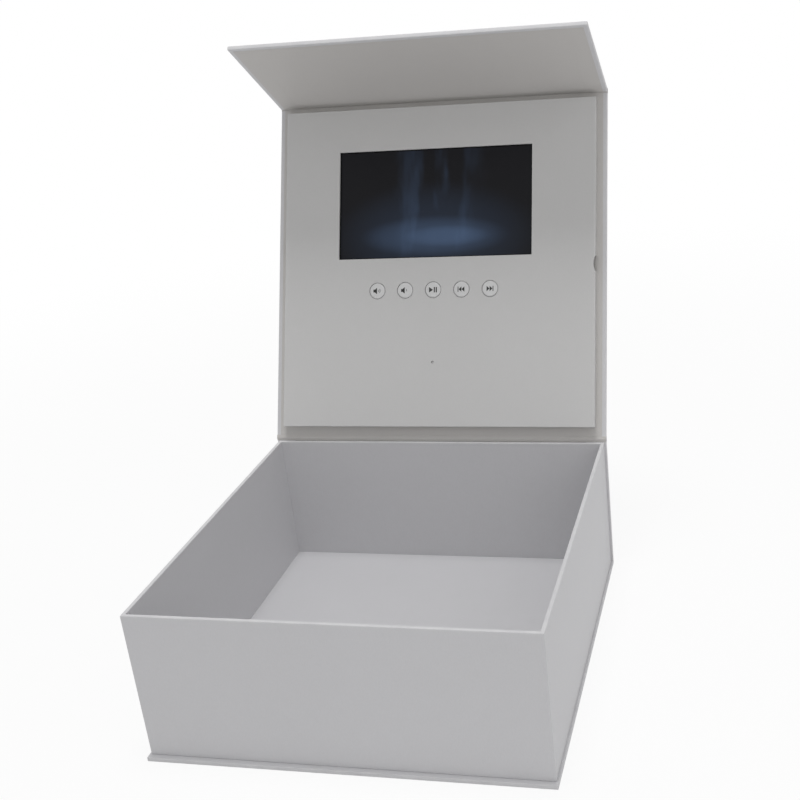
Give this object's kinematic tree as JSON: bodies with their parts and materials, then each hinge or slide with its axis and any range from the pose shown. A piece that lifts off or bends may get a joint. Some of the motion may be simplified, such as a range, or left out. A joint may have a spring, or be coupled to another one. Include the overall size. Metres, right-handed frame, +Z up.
{
  "type": "lcd video brochure box",
  "caption": "Square paper-covered presentation box whose hinged lid carries a raised panel with a 7-inch video screen, push buttons and a folding front flap.",
  "frame": {"origin": "middle of the tray's width and depth, on the table under the base", "axes": "+X to the viewer's right, +Y to the spine and lid hinge at the back, +Z up"},
  "size_m": [0.262, 0.3745, 0.4035],
  "materials": {
    "covering_paper": "satin",
    "lining_paper": "satin",
    "greyboard": "matte",
    "stay_tape": "matte",
    "magnet": "satin",
    "foam": "matte",
    "pressed_steel": "satin",
    "screen_glass": "gloss",
    "light_guide": "gloss",
    "circuit_board": "satin",
    "black_plastic": "matte",
    "sensor_lens": "gloss",
    "battery_pouch": "satin",
    "speaker_paper": "matte",
    "ribbon_cable": "satin",
    "wire_insulation": "satin",
    "button_cap": "satin"
  },
  "bodies": {
    "tray": {"base_board": "greyboard", "base_wrap": "covering_paper", "base_turn_in": "covering_paper", "spine_board": "greyboard", "spine_wrap": "covering_paper", "tray_floor_board": "greyboard", "tray_front_board": "greyboard", "tray_back_board": "greyboard", "tray_left_board": "greyboard", "tray_right_board": "greyboard", "tray_magnets": "magnet", "corner_stays": "stay_tape", "tray_wrap": "covering_paper", "floor_liner": "lining_paper", "lid_hinge_inner": "covering_paper", "lid_hinge_outer": "covering_paper"},
    "lid": {"lid_board": "greyboard", "lid_wrap": "covering_paper", "lid_lining": "lining_paper", "panel_frame": "greyboard", "panel_face": "greyboard", "panel_wrap": "covering_paper", "foam_spacer": "foam", "foam_pads": "foam", "lcd_frame": "pressed_steel", "lcd_glass": "screen_glass", "light_guide": "light_guide", "main_board": "circuit_board", "board_chips": "black_plastic", "light_sensor": "sensor_lens", "button_board": "circuit_board", "tact_switches": "black_plastic", "battery": "battery_pouch", "speaker_magnet": "pressed_steel", "speaker_frame": "pressed_steel", "speaker_cone": "speaker_paper", "charge_board": "circuit_board", "charge_lamp": "sensor_lens", "usb_socket": "pressed_steel", "flat_cables": "ribbon_cable", "battery_leads": "wire_insulation", "speaker_leads": "wire_insulation", "charge_leads": "wire_insulation", "flap_hinge_inner": "covering_paper", "flap_hinge_outer": "covering_paper"},
    "flap": {"flap_board": "greyboard", "flap_wrap": "covering_paper", "flap_lining": "lining_paper", "flap_magnets": "magnet"},
    "volume_up_key": {"volume_up_button": "button_cap", "volume_up_plunger": "black_plastic"},
    "volume_down_key": {"volume_down_button": "button_cap", "volume_down_plunger": "black_plastic"},
    "play_pause_key": {"play_pause_button": "button_cap", "play_pause_plunger": "black_plastic"},
    "previous_key": {"previous_button": "button_cap", "previous_plunger": "black_plastic"},
    "next_key": {"next_button": "button_cap", "next_plunger": "black_plastic"}
  },
  "joints": [
    {"name": "lid_hinge", "type": "hinge", "parent": "tray", "child": "lid", "pos_m": [0, 0.13095, 0.106], "axis": [1, 0, 0], "range_deg": [-65.7, 114.3], "deforming": ["lid_hinge_inner", "lid_hinge_outer"]},
    {"name": "flap_hinge", "type": "hinge", "parent": "lid", "child": "flap", "pos_m": [0, 0.23899, 0.34529], "axis": [1, 0, 0], "range_deg": [-80.5, 9.5], "deforming": ["flap_hinge_inner", "flap_hinge_outer"]},
    {"name": "volume_up_press", "type": "slide", "parent": "lid", "child": "volume_up_key", "axis": [0, 0.9114, -0.4115], "range_m": [0, 0.0004], "stiffness_N_per_m": 2000},
    {"name": "volume_down_press", "type": "slide", "parent": "lid", "child": "volume_down_key", "axis": [0, 0.9114, -0.4115], "range_m": [0, 0.0004], "stiffness_N_per_m": 2000},
    {"name": "play_pause_press", "type": "slide", "parent": "lid", "child": "play_pause_key", "axis": [0, 0.9114, -0.4115], "range_m": [0, 0.0004], "stiffness_N_per_m": 2000},
    {"name": "previous_press", "type": "slide", "parent": "lid", "child": "previous_key", "axis": [0, 0.9114, -0.4115], "range_m": [0, 0.0004], "stiffness_N_per_m": 2000},
    {"name": "next_press", "type": "slide", "parent": "lid", "child": "next_key", "axis": [0, 0.9114, -0.4115], "range_m": [0, 0.0004], "stiffness_N_per_m": 2000}
  ]
}
